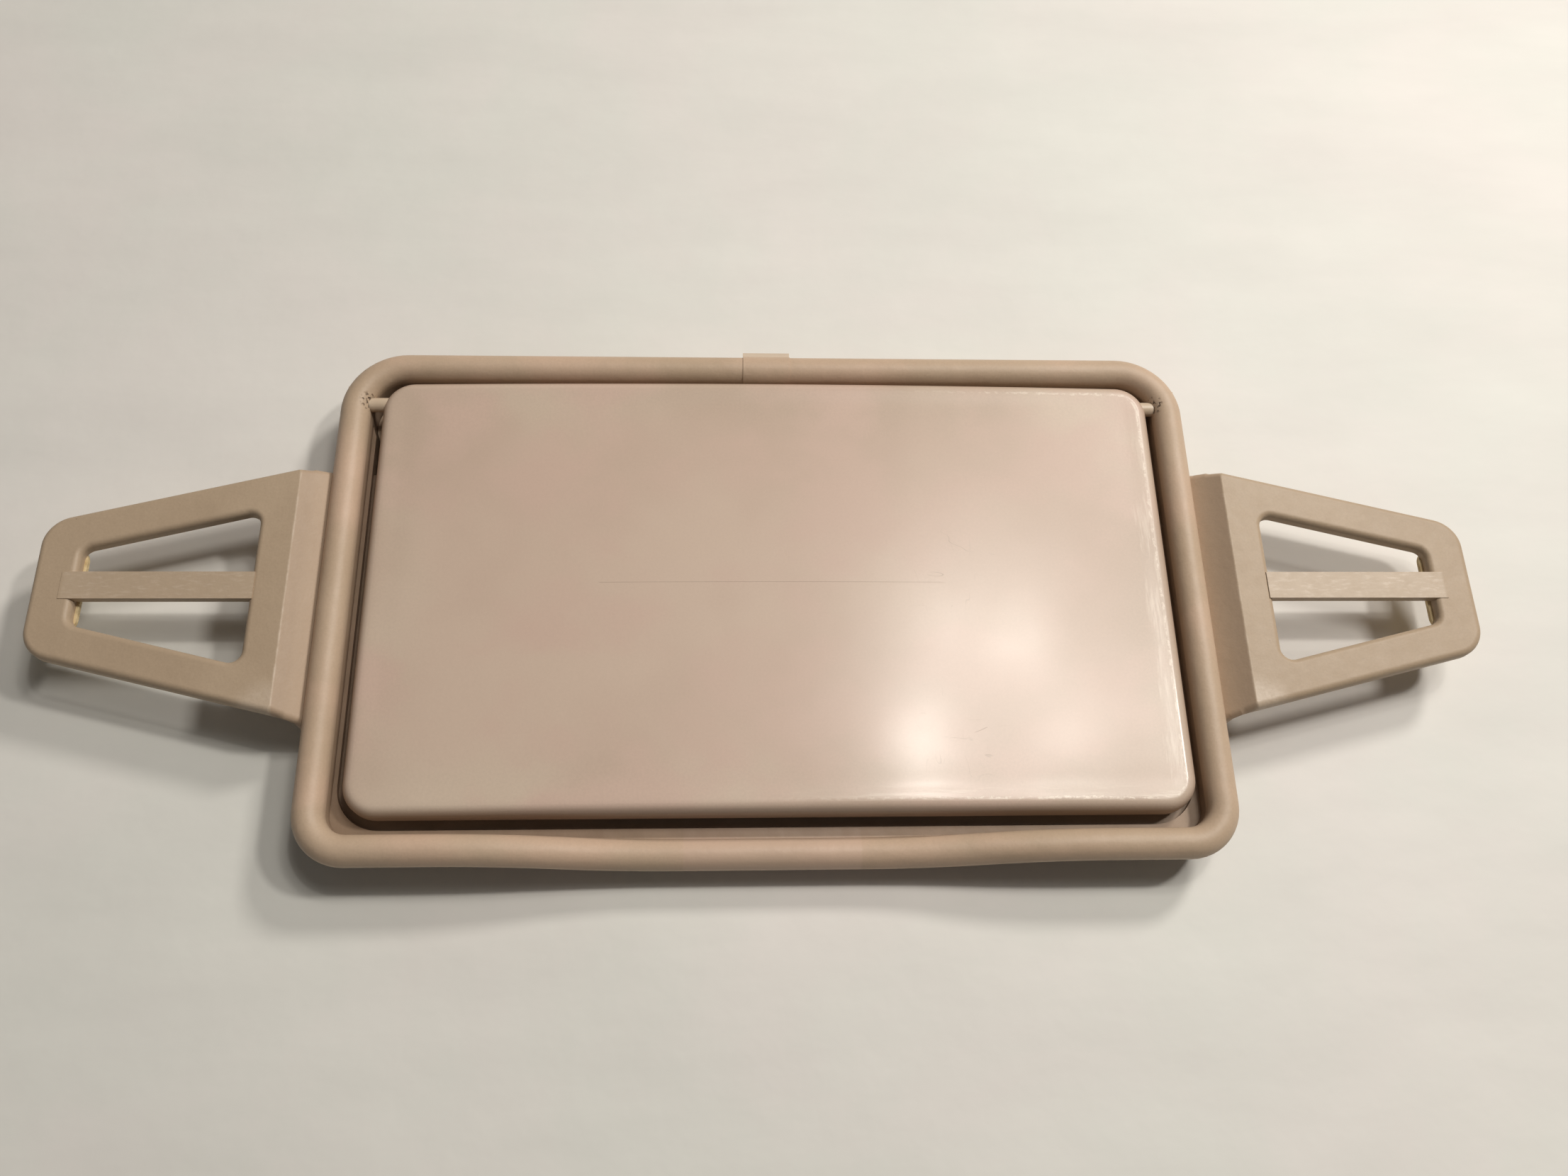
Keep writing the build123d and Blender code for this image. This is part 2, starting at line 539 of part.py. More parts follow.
# ------------------------------------------------------------------ wing handles
with BuildPart() as handle:
    # Side view: mounting tongue under the rim, web, sloping facet and flat wing
    with BuildSketch(Plane.XZ):
        with BuildLine():
            Polyline(
                (TONGUE_START_X, TONGUE_BOTTOM_Z),
                (HANDLE_ROOT_X + WEB_THICKNESS, TONGUE_BOTTOM_Z),
                (HANDLE_ROOT_X + WEB_THICKNESS, HANDLE_BOTTOM_Z - WEB_THICKNESS),
                (HANDLE_ROOT_X + 2 * WEB_THICKNESS, HANDLE_BOTTOM_Z),
                (HANDLE_TIP_X, HANDLE_BOTTOM_Z),
                (HANDLE_TIP_X, HANDLE_TOP_Z),
                (HANDLE_ROOT_X + FACET_RUN, HANDLE_TOP_Z),
                (HANDLE_ROOT_X, FACET_FOOT_Z),
                (HANDLE_ROOT_X, BEAD_BOTTOM_Z),
                (TONGUE_START_X, BEAD_BOTTOM_Z),
                close=True,
            )
        make_face()
    extrude(amount=HANDLE_ROOT_HALF * 2, both=True)
    # Plan view: tapered wing with rounded tip corners
    with BuildSketch():
        add(wing_outline(TONGUE_START_X, HANDLE_TIP_X, 0.0, 0.0, HANDLE_CORNER_RADIUS))
    extrude(amount=HANDLE_TOP_Z, mode=Mode.INTERSECT)
    wing_top = handle.faces().sort_by(Axis.Z)[-1]
    facet = handle.faces().filter_by(lambda face: 0.1 < face.normal_at().Z < 0.9)[0]
    facet_sides = facet.edges().sort_by(Axis.Y)
    soft_edges = wing_top.edges().sort_by(Axis.X)[1:] + [facet_sides[0], facet_sides[-1]]
    fillet(soft_edges, radius=HANDLE_EDGE_RADIUS)
    crest = handle.faces().sort_by(Axis.Z)[-1].edges().sort_by(Axis.X)[0]
    fillet(crest, radius=CREST_RADIUS)
    # Window with rounded upper edges
    with BuildSketch(Plane.XY.offset(HANDLE_BOTTOM_Z)):
        add(
            wing_outline(
                WINDOW_START_X,
                WINDOW_END_X,
                HANDLE_BORDER,
                WINDOW_CORNER_RADIUS,
                WINDOW_CORNER_RADIUS,
            )
        )
    extrude(amount=HANDLE_TOP_Z - HANDLE_BOTTOM_Z, mode=Mode.SUBTRACT)
    window_edges = handle.faces().sort_by(Axis.Z)[-1].inner_wires()[0].edges()
    fillet(window_edges, radius=WINDOW_EDGE_RADIUS)
    # Hollow underside between the outer skirt and the skirt round the window
    with BuildSketch(Plane.XY.offset(HANDLE_BOTTOM_Z)):
        add(
            wing_outline(
                HANDLE_ROOT_X + FACET_RUN,
                HANDLE_TIP_X - HANDLE_SKIN,
                HANDLE_SKIN,
                WINDOW_CORNER_RADIUS,
                HANDLE_CORNER_RADIUS - HANDLE_SKIN,
            )
        )
        add(
            wing_outline(
                WINDOW_START_X - HANDLE_SKIN,
                WINDOW_END_X + HANDLE_SKIN,
                HANDLE_BORDER - HANDLE_SKIN,
                WINDOW_CORNER_RADIUS + HANDLE_SKIN,
                WINDOW_CORNER_RADIUS + HANDLE_SKIN,
            ),
            mode=Mode.SUBTRACT,
        )
    extrude(amount=HANDLE_TOP_Z - HANDLE_SKIN - HANDLE_BOTTOM_Z, mode=Mode.SUBTRACT)
    # Flat rib along the middle of the window, a little proud of the wing
    with BuildSketch(Plane.XY.offset(HANDLE_TOP_Z + GRIP_RIB_RISE - GRIP_RIB_THICKNESS)):
        with Locations(((GRIP_RIB_START_X + GRIP_RIB_END_X) / 2, 0)):
            Rectangle(GRIP_RIB_END_X - GRIP_RIB_START_X, GRIP_RIB_WIDTH)
    extrude(amount=GRIP_RIB_THICKNESS)
    add(handle_screw_bodies, mode=Mode.SUBTRACT)
finish_pair(handle.part, "handle")

handle_screw_pair = screws(
    handle_screws, TONGUE_BOTTOM_Z, HANDLE_SCREW_TIP_Z, SCREW_RADIUS, SCREW_HEAD
)
finish_pair(handle_screw_pair, "handle_screws")

with BuildPart() as tip_pad:
    pad_length = HANDLE_TIP_X + PAD_OVERHANG - PAD_START_X
    with BuildSketch(Plane.XY.offset(HANDLE_BOTTOM_Z - PAD_THICKNESS)):
        with Locations((PAD_START_X + pad_length / 2, 0)):
            RectangleRounded(pad_length, 2 * PAD_HALF, PAD_CORNER_RADIUS)
    extrude(amount=PAD_THICKNESS)
finish_pair(tip_pad.part, "tip_pad")

# ------------------------------------------------------------------ rear clip
with BuildPart() as rear_clip:
    with BuildSketch(Plane.YZ):
        with Locations((PATH_DEPTH / 2, BEAD_CENTRE_Z)):
            Circle(BEAD_RADIUS + CLIP_THICKNESS)
        with Locations((PATH_DEPTH / 2, CLIP_LOW_Z + BEAD_RADIUS)):
            Rectangle(4 * BEAD_RADIUS, 2 * BEAD_RADIUS, mode=Mode.INTERSECT)
        inner_y = PATH_DEPTH / 2 - BEAD_RADIUS
        with Locations((inner_y, (CLIP_LOW_Z + BEAD_CENTRE_Z) / 2)):
            Rectangle(2 * CLIP_THICKNESS, BEAD_CENTRE_Z - CLIP_LOW_Z)
        with Locations((inner_y + WALL / 2, BEAD_CENTRE_Z - LEG_DEPTH / 2)):
            Rectangle(WALL, LEG_DEPTH, mode=Mode.SUBTRACT)
        tab_length = BEAD_RADIUS + CLIP_TAB_REACH
        with Locations((PATH_DEPTH / 2 + tab_length / 2, CLIP_TAB_TOP_Z - CLIP_TAB_HEIGHT / 2)):
            Rectangle(tab_length, CLIP_TAB_HEIGHT)
        with Locations((PATH_DEPTH / 2, BEAD_CENTRE_Z)):
            Circle(BEAD_RADIUS, mode=Mode.SUBTRACT)
    extrude(amount=CLIP_WIDTH / 2, both=True)
finish(rear_clip.part, "rear_clip")
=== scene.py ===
"""Looks of the pill counting tray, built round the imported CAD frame. Metres, +Z up."""

import math

import bmesh
import bpy
from mathutils import Matrix, Vector, noise


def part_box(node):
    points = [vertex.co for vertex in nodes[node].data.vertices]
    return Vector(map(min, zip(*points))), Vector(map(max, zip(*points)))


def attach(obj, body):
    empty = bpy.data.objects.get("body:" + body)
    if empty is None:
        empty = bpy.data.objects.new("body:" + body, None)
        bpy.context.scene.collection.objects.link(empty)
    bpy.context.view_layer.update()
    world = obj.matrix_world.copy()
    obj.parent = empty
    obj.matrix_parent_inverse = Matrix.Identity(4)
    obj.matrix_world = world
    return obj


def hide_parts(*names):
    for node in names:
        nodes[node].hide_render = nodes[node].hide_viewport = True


MM = 0.001
EDGE_DISTANCE = "edge_distance"

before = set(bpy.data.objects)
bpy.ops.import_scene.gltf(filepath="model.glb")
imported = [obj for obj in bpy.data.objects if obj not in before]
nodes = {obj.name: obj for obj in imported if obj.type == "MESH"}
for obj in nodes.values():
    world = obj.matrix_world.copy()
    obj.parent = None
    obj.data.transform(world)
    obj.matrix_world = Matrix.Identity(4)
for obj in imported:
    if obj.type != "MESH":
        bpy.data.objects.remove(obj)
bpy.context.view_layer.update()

# ------------------------------------------------------------------ colours
FRAME_PALE = (0.564, 0.427, 0.311)
FRAME_DEEP = (0.511, 0.384, 0.272)
FRAME_PINK = (0.600, 0.436, 0.320)
LIP_PAINTED_REFLECTION = (0.646, 0.472, 0.371)
HANDLE_PALE = (0.474, 0.363, 0.255)
HANDLE_DEEP = (0.438, 0.332, 0.231)
FACET_PAINTED_SHADE = (0.430, 0.302, 0.222)
RIB_PAINTED_HIGHLIGHT = (0.560, 0.450, 0.340)
LEAF_PALE = (0.630, 0.512, 0.408)
LEAF_DEEP = (0.550, 0.428, 0.338)
LEAF_PINK = (0.620, 0.465, 0.380)
LEAF_SIDE_SHADE = (0.340, 0.235, 0.165)
CLIP_TAB_PAINTED_LIGHT = (0.640, 0.540, 0.430)
PIN_PALE = (0.680, 0.560, 0.430)
PIN_DEEP = (0.590, 0.470, 0.350)
PAN_DEEP = (0.390, 0.285, 0.200)
WORN = (0.800, 0.690, 0.580)
GAP_PAINTED_SHADE = (0.260, 0.175, 0.115)
CHIPPED = (0.060, 0.035, 0.022)
SPECK = (0.110, 0.065, 0.042)
FOAM_PALE = (0.740, 0.610, 0.370)
FOAM_DEEP = (0.560, 0.420, 0.220)
RUBBER_DARK = (0.045, 0.042, 0.038)
RUBBER_DUSTY = (0.130, 0.120, 0.105)
STEEL_CLEAN = (0.600, 0.580, 0.540)
STEEL_STAINED = (0.340, 0.270, 0.190)
FLOOR_COOL = (0.790, 0.792, 0.750)
FLOOR_WARM = (0.815, 0.790, 0.758)

# ------------------------------------------------------------------ relief, wear and gloss
GRAIN = 0.030 * MM
GRAIN_SIZE = 0.7 * MM
SPECK_SIZE = 0.22 * MM
SPECK_STRENGTH = 0.6
SPECKED_SHARE = 0.45
FLASH_RELIEF = 0.12 * MM
CHIP_RELIEF = 0.2 * MM
SCRATCH_RELIEF = 0.014 * MM
CRACK_RELIEF = 0.012 * MM
MOULD_ROUGHNESS = (0.44, 0.58)
CLIP_ROUGHNESS = (0.44, 0.56)
LEAF_MATT = (0.34, 0.42)
# Below 0.275 the render's denoiser draws a hard edge round each smoother patch.
LEAF_GLOSS = (0.28, 0.34)
LEAF_COAT = (0.03, 0.46)
PLASTIC_IOR = 1.46
COAT_IOR = 1.5
RUBBER_IOR = 1.5
PAINT_IOR = 1.4
FOAM_IOR = 1.4

# ------------------------------------------------------------------ places, from the CAD boxes
BEAD_WIDTH = 8.2 * MM
LIP_PATCH = 23.5 * MM
LIP_FROM_FRONT = 15.6 * MM
SHADE_FROM_BOTTOM = 10.5 * MM
CREST_FROM_FRAME = 7.4 * MM
RIB_HALF_WIDTH = 3.95 * MM
RIB_FROM_CREST = 8.5 * MM
RIB_FROM_TIP = 8.5 * MM
CRAZE_FROM_RIGHT_AND_FRONT = ((64.2 * MM, 67.4 * MM), (65.2 * MM, 20.4 * MM))
CRAZE_REACH = 17 * MM
BORDER_LINE = 3.3 * MM
# Where each begins and where it is at its full strength.
STREAKS_FROM_FRONT = (15.4 * MM, 2.4 * MM)
STREAKS_FROM_RIGHT = (18.2 * MM, 4.2 * MM)
RUB_FROM_RIGHT = (120.2 * MM, 70.2 * MM)
RUB_FROM_REAR = (-8 * MM, 58 * MM)
SHADED_SIDE_FROM_TOP = (1.6 * MM, 3.6 * MM)
TAB_FROM_REAR = (0.8 * MM, 0.1 * MM)

# ------------------------------------------------------------------ the leaf's mesh
LEAF_SINK = 0.16 * MM
WAVE_SIZE, WAVE_HEIGHT, WAVE_LAYER = 45 * MM, 0.07 * MM, 3.1
RIPPLE_SIZE, RIPPLE_HEIGHT, RIPPLE_LAYER = 14 * MM, 0.012 * MM, 7.7
CORNER_STEPS, LONG_STEPS, SHORT_STEPS = 12, 96, 52
UNDER_STEPS, EDGE_STEPS = 5, 10
TOP_LOOPS, TOP_STEP, TOP_GROWTH = 21, 0.35 * MM, 1.16
# The innermost loop is this narrow, and the welding closes it.
SMALLEST = 0.02 * MM
WELD = 0.03 * MM


# ------------------------------------------------------------------ shader building
class Shader:
    """One procedural material, built node by node. Places are object coordinates, in metres."""

    def __init__(self, name):
        self.material = bpy.data.materials.new(name)
        self.material.use_nodes = True
        self.tree = self.material.node_tree
        self.tree.nodes.clear()
        self.output = self.tree.nodes.new("ShaderNodeOutputMaterial")
        self.surface = self.tree.nodes.new("ShaderNodeBsdfPrincipled")
        self.tree.links.new(self.surface.outputs[0], self.output.inputs[0])
        self.place = self.tree.nodes.new("ShaderNodeTexCoord").outputs["Object"]
        self.bump_chain = None

    def put(self, socket, value):
        """Sets a socket to a plain value, or links it to another node's output."""
        if isinstance(value, bpy.types.NodeSocket):
            self.tree.links.new(value, socket)
        elif hasattr(value, "__len__") and len(value) == 3 and socket.type == "RGBA":
            socket.default_value = (*value, 1.0)
        else:
            socket.default_value = value

    def math(self, operation, a, b=0.0):
        """One sum, product or comparison of two numbers."""
        node = self.tree.nodes.new("ShaderNodeMath")
        node.operation = operation
        self.put(node.inputs[0], a)
        self.put(node.inputs[1], b)
        return node.outputs[0]

    def times(self, *values):
        product = values[0]
        for value in values[1:]:
            product = self.math("MULTIPLY", product, value)
        return product

    def flip(self, value):
        return self.math("SUBTRACT", 1.0, value)

    def absolute(self, value):
        return self.math("ABSOLUTE", value)

    def less(self, value, mask, amount):
        """The value, lower by the amount where the mask is 1."""
        return self.math("SUBTRACT", value, self.math("MULTIPLY", mask, amount))

    def axis(self, name, vector=None):
        """One coordinate of the place, or of another vector."""
        node = self.tree.nodes.new("ShaderNodeSeparateXYZ")
        self.put(node.inputs[0], self.place if vector is None else vector)
        return node.outputs[name]

    def normal(self):
        return self.tree.nodes.new("ShaderNodeNewGeometry").outputs["Normal"]

    def folded(self):
        """The place with X made positive, so that both sides of the object look alike."""
        node = self.tree.nodes.new("ShaderNodeCombineXYZ")
        self.put(node.inputs["X"], self.absolute(self.axis("X")))
        self.put(node.inputs["Y"], self.axis("Y"))
        self.put(node.inputs["Z"], self.axis("Z"))
        return node.outputs[0]

    def within(self, point, reach, vector=None):
        """1 close to a point, fading to 0 at reach from it."""
        node = self.tree.nodes.new("ShaderNodeVectorMath")
        node.operation = "DISTANCE"
        self.put(node.inputs[0], self.place if vector is None else vector)
        node.inputs[1].default_value = point
        return self.step(node.outputs["Value"], reach, 0.5 * reach)

    def stretched(self, x, y, z, turn=0.0):
        """The place, stretched along each axis and turned about Z."""
        node = self.tree.nodes.new("ShaderNodeMapping")
        node.vector_type = "POINT"
        self.put(node.inputs["Vector"], self.place)
        node.inputs["Rotation"].default_value = (0.0, 0.0, turn)
        node.inputs["Scale"].default_value = (x, y, z)
        return node.outputs[0]

    def noise(self, size, detail=2.0, roughness=0.5, vector=None, distortion=0.0):
        """Smooth noise whose lumps are about size metres across."""
        node = self.tree.nodes.new("ShaderNodeTexNoise")
        self.put(node.inputs["Vector"], self.place if vector is None else vector)
        node.inputs["Scale"].default_value = 1.0 / size
        node.inputs["Detail"].default_value = detail
        node.inputs["Roughness"].default_value = roughness
        node.inputs["Distortion"].default_value = distortion
        return node.outputs["Fac"]

    def cells(self, size):
        """Distance to the nearest of scattered points, which are about size metres apart."""
        node = self.tree.nodes.new("ShaderNodeTexVoronoi")
        node.feature = "F1"
        self.put(node.inputs["Vector"], self.place)
        node.inputs["Scale"].default_value = 1.0 / size
        return node.outputs["Distance"]

    def step(self, value, low, high):
        """0 below low, 1 above high, smooth in between. Low above high turns it round."""
        node = self.tree.nodes.new("ShaderNodeMapRange")
        node.interpolation_type = "SMOOTHSTEP"
        self.put(node.inputs["Value"], value)
        node.inputs["From Min"].default_value = min(low, high)
        node.inputs["From Max"].default_value = max(low, high)
        node.inputs["To Min"].default_value = 0.0 if low < high else 1.0
        node.inputs["To Max"].default_value = 1.0 if low < high else 0.0
        return node.outputs["Result"]

    def near(self, value, centre, reach):
        """1 where value is at centre, fading to 0 at reach on either side."""
        away = self.absolute(self.math("SUBTRACT", value, centre))
        return self.step(away, reach, 0.3 * reach)

    def between(self, value, low, high):
        """A plain straight map from 0..1 to low..high."""
        node = self.tree.nodes.new("ShaderNodeMapRange")
        self.put(node.inputs["Value"], value)
        node.inputs["To Min"].default_value = low
        node.inputs["To Max"].default_value = high
        return node.outputs["Result"]

    def patches(self, size, low, high, **options):
        """A mask of patches: where the noise is above high it is 1, and below low 0."""
        return self.step(self.noise(size, **options), low, high)

    def varied(self, size, low, high, **options):
        """A number that wanders between low and high."""
        return self.between(self.noise(size, **options), low, high)

    def blend(self, share, a, b):
        """A number between a and b."""
        node = self.tree.nodes.new("ShaderNodeMix")
        node.data_type = "FLOAT"
        self.put(node.inputs[0], share)
        self.put(node.inputs[2], a)
        self.put(node.inputs[3], b)
        return node.outputs[0]

    def mix(self, share, a, b, blend="MIX"):
        """A colour between a and b."""
        node = self.tree.nodes.new("ShaderNodeMix")
        node.data_type = "RGBA"
        node.blend_type = blend
        self.put(node.inputs[0], share)
        self.put(node.inputs[6], a)
        self.put(node.inputs[7], b)
        return node.outputs[2]

    def tint(self, colour, towards, mask, most):
        """The colour, drawn towards another by the share most where the mask is 1."""
        return self.mix(self.math("MULTIPLY", mask, most), colour, towards)

    def shade(self, colour, value):
        """The colour made lighter or darker by a factor near 1."""
        node = self.tree.nodes.new("ShaderNodeCombineColor")
        for channel in ("Red", "Green", "Blue"):
            self.put(node.inputs[channel], value)
        return self.mix(1.0, colour, node.outputs[0], "MULTIPLY")

    def specks(self, spacing, size, share):
        """Scattered dots of the given size; share is how much of the surface has any."""
        dots = self.step(self.cells(spacing), size / spacing, 0.4 * size / spacing)
        return self.times(dots, self.patches(4 * spacing, 1.0 - share, 1.02 - share))

    def attribute(self, name):
        node = self.tree.nodes.new("ShaderNodeAttribute")
        node.attribute_name = name
        return node.outputs["Fac"]

    def bump(self, height, depth):
        """Adds a relief of the given depth, in metres, to those already there."""
        node = self.tree.nodes.new("ShaderNodeBump")
        node.inputs["Strength"].default_value = 1.0
        node.inputs["Distance"].default_value = depth
        self.put(node.inputs["Height"], height)
        if self.bump_chain is not None:
            self.tree.links.new(self.bump_chain, node.inputs["Normal"])
        self.bump_chain = node.outputs[0]

    def finish(self, colour, roughness, **sockets):
        self.put(self.surface.inputs["Base Color"], colour)
        self.put(self.surface.inputs["Roughness"], roughness)
        for name, value in sockets.items():
            self.put(self.surface.inputs[name.replace("_", " ")], value)
        if self.bump_chain is not None:
            self.tree.links.new(self.bump_chain, self.surface.inputs["Normal"])
        return self.material


# ------------------------------------------------------------------ materials
def beige_mottle(s, pale, deep, pink, fleck=0.08):
    """Aged beige: broad patches, a pinker cast in places and a fine fleck."""
    colour = s.mix(s.patches(60 * MM, 0.35, 0.65, detail=3.0), pale, deep)
    turned = s.stretched(1.0, 1.3, 1.0, turn=0.6)
    colour = s.mix(s.patches(30 * MM, 0.42, 0.68, detail=3.0, vector=turned), colour, pink)
    return s.shade(colour, s.varied(GRAIN_SIZE, 1.0 - fleck, 1.0 + fleck, roughness=0.6))


def leathery_grain(s, depth):
    """The fine sparked texture of the mould, over broader unevenness."""
    s.bump(s.noise(9 * MM), 8 * depth)
    s.bump(s.noise(1.8 * MM), 1.6 * depth)
    s.bump(s.noise(GRAIN_SIZE, detail=3.0, roughness=0.6), depth)


def add_specks(s, colour, spacing):
    """Dark specks in the plastic, in some areas only."""
    specks = s.specks(spacing, SPECK_SIZE, SPECKED_SHARE)
    return s.tint(colour, SPECK, specks, SPECK_STRENGTH)


def lip_patch(s, across, y, lip_y):
    """The smoother stretch in the middle of the pouring lip, which also takes a painted pink
    reflection.
    """
    middle = s.step(across, LIP_PATCH + 0.5 * MM, LIP_PATCH - 0.5 * MM)
    return s.times(middle, s.step(y, lip_y + MM, lip_y - MM))


def parting_line(s, beyond):
    """The pale flash that the mould's parting line left round the outside of the rim."""
    equator = s.near(s.axis("Z", s.normal()), -0.02, 0.13)
    outside = s.step(beyond, 5 * MM, 6 * MM)
    return s.times(equator, outside, s.patches(5 * MM, 0.36, 0.52, detail=3.0, roughness=0.6))


def socket_chips(s, socket_place):
    """Small dark chips where the pins enter the rim."""
    around = s.within(socket_place, 3.4 * MM, s.folded())
    return s.times(around, s.patches(0.9 * MM, 0.54, 0.60, detail=3.0))


def gap_painted_shade(s, beyond, z, shade_z):
    """Painted shade low on the inner faces, round the gap beside the leaf."""
    low_inside = s.times(
        s.step(beyond, 0.6 * MM, 0.0),
        s.step(z, shade_z + 0.6 * MM, shade_z - 0.6 * MM),
    )
    return s.times(low_inside, s.varied(6 * MM, 0.55, 0.9, detail=3.0))


def frame_plastic(low, high, socket_place):
    """Frame: matte and grainy, with painted shade inside the gap, smoother at the lip and painted
    pinker there as a reflection.
    """
    s = Shader("frame_plastic")
    across, y, z = s.absolute(s.axis("X")), s.axis("Y"), s.axis("Z")
    beyond_x = s.math("SUBTRACT", across, high.x - BEAD_WIDTH)
    beyond_y = s.math("SUBTRACT", s.absolute(y), high.y - BEAD_WIDTH)
    beyond = s.math("MAXIMUM", beyond_x, beyond_y)
    lip = lip_patch(s, across, y, low.y + LIP_FROM_FRONT)
    flash = parting_line(s, beyond)
    chips = socket_chips(s, socket_place)

    colour = beige_mottle(s, FRAME_PALE, FRAME_DEEP, FRAME_PINK)
    # Painted reflection: the lip's flatter middle is painted paler and pinker.
    colour = s.tint(colour, LIP_PAINTED_REFLECTION, lip, 0.5)
    colour = s.tint(colour, WORN, flash, 0.4)
    # Painted shade: the inner faces round the gap beside the leaf are darkened where shade falls.
    colour = s.mix(gap_painted_shade(s, beyond, z, low.z + SHADE_FROM_BOTTOM), colour, GAP_PAINTED_SHADE)
    colour = s.tint(colour, CHIPPED, chips, 0.85)
    colour = add_specks(s, colour, 11 * MM)

    leathery_grain(s, GRAIN)
    s.bump(flash, FLASH_RELIEF)
    s.bump(s.flip(chips), CHIP_RELIEF)
    rough = s.less(s.varied(4 * MM, *MOULD_ROUGHNESS), lip, 0.06)
    return s.finish(colour, rough, IOR=PLASTIC_IOR)


def rib_rub(s, across, crest_x, tip_x):
    """The flat top of the grip rib, and the fine streaks rubbed into it."""
    soft = 0.5 * MM
    begin, end = crest_x + RIB_FROM_CREST, tip_x - RIB_FROM_TIP
    top = s.times(
        s.step(s.absolute(s.axis("Y")), RIB_HALF_WIDTH + 0.1 * MM, RIB_HALF_WIDTH - 0.1 * MM),
        s.step(across, begin - soft, begin + soft),
        s.step(across, end + soft, end - soft),
    )
    along = s.stretched(0.25, 1.0, 1.0)
    streaks = s.patches(0.9 * MM, 0.48, 0.75, detail=3.0, roughness=0.7, vector=along)
    return top, s.times(top, streaks)


def crest_wear(s, across, crest_x, crest_front):
    """Wear along the crest, where the handle turns level, and most of all at its front end."""
    scuff = s.patches(6 * MM, 0.40, 0.66, detail=4.0, roughness=0.7)
    crest = s.times(s.near(across, crest_x, 0.5 * MM), scuff, 0.35)
    corner = s.times(
        s.within(crest_front, 13 * MM, s.folded()),
        s.step(across, crest_x - 0.2 * MM, crest_x + 0.4 * MM),
        s.varied(1.4 * MM, 0.1, 0.9, detail=3.0, roughness=0.7),
    )
    return s.math("MAXIMUM", crest, corner)


def handle_plastic(crest_x, crest_front, tip_x, top_z):
    """Handles: the frame's plastic, worn along the crest and most of all at its front corner, with
    painted shade on the facets and lower faces and a painted highlight on the rib top.
    """
    s = Shader("handle_plastic")
    across = s.absolute(s.axis("X"))
    facet = s.step(across, crest_x, crest_x - 0.3 * MM)
    side = s.step(s.axis("Z"), *(top_z - down for down in SHADED_SIDE_FROM_TOP))
    top, rub = rib_rub(s, across, crest_x, tip_x)
    crest = crest_wear(s, across, crest_x, crest_front)
    worn = s.math("MAXIMUM", crest, s.times(rub, 0.45))

    colour = beige_mottle(s, HANDLE_PALE, HANDLE_DEEP, HANDLE_PALE)
    # Painted shade: the sloping facets are tinted darker and pinker.
    colour = s.tint(colour, FACET_PAINTED_SHADE, facet, 0.4)
    # Painted highlight: the rib's flat top is made paler.
    colour = s.tint(colour, RIB_PAINTED_HIGHLIGHT, top, 0.35)
    colour = s.tint(colour, WORN, worn, 0.5)
    # Painted shade: the handle's faces below its top are darkened.
    colour = s.tint(colour, FRAME_DEEP, side, 0.3)
    colour = add_specks(s, colour, 13 * MM)

    leathery_grain(s, GRAIN)
    rough = s.less(s.less(s.varied(4 * MM, *MOULD_ROUGHNESS), worn, 0.15), top, 0.08)
    return s.finish(colour, rough, IOR=PLASTIC_IOR)


def leaf_crazing(s, low, high):
    """Hair cracks: thin contour lines of a stretched noise, in two places only."""
    places = [
        (high.x - from_right, low.y + from_front, high.z - 0.1 * MM)
        for from_right, from_front in CRAZE_FROM_RIGHT_AND_FRONT
    ]
    around = s.math("MAXIMUM", *(s.within(place, CRAZE_REACH) for place in places))
    wavy = s.noise(12 * MM, roughness=0.45, vector=s.stretched(0.5, 1.5, 1.0, turn=0.25))
    steep = s.noise(11 * MM, roughness=0.45, vector=s.stretched(1.6, 0.45, 1.0, turn=0.15))
    lines = s.math("MAXIMUM", s.near(wavy, 0.5, 0.005), s.times(s.near(steep, 0.47, 0.004), 0.6))
    return s.times(around, lines, s.patches(6 * MM, 0.48, 0.60))


def leaf_streaks(s, x, y, low, high):
    """Fine scratches that run along the front edge and along the right side."""
    grit = {"detail": 3.0, "roughness": 0.7}
    along = s.noise(1.4 * MM, vector=s.stretched(0.10, 1.0, 1.0), **grit)
    down = s.noise(1.4 * MM, vector=s.stretched(1.0, 0.10, 1.0), **grit)
    front = s.step(y, *(low.y + inward for inward in STREAKS_FROM_FRONT))
    side = s.step(x, *(high.x - inward for inward in STREAKS_FROM_RIGHT))
    streaks = s.math("MAXIMUM", s.times(front, along), s.times(side, down))
    return s.step(streaks, 0.42, 0.66)


def leaf_edge_line(s, edge, x, y):
    """The bright ragged line just inside the border, where the top has been rubbed."""
    fray = s.varied(2.2 * MM, -0.9 * MM, 0.9 * MM, detail=4.0, roughness=0.7)
    line = s.near(s.math("ADD", edge, fray), BORDER_LINE, 0.5 * MM)
    broken = s.patches(2.5 * MM, 0.42, 0.58, detail=4.0, roughness=0.75)
    towards_front_right = s.math("ADD", x, s.times(y, -0.35))
    return s.times(line, broken, s.step(towards_front_right, 5 * MM, 80 * MM))


def leaf_rub(s, x, y, high):
    """The part rubbed to a shine: the right half, less and less towards the rear."""
    wander = s.varied(35 * MM, -9 * MM, 9 * MM, detail=1.0)
    right = s.step(s.math("ADD", x, wander), *(high.x - inward for inward in RUB_FROM_RIGHT))
    return s.times(right, s.step(y, *(high.y - forward for forward in RUB_FROM_REAR)))


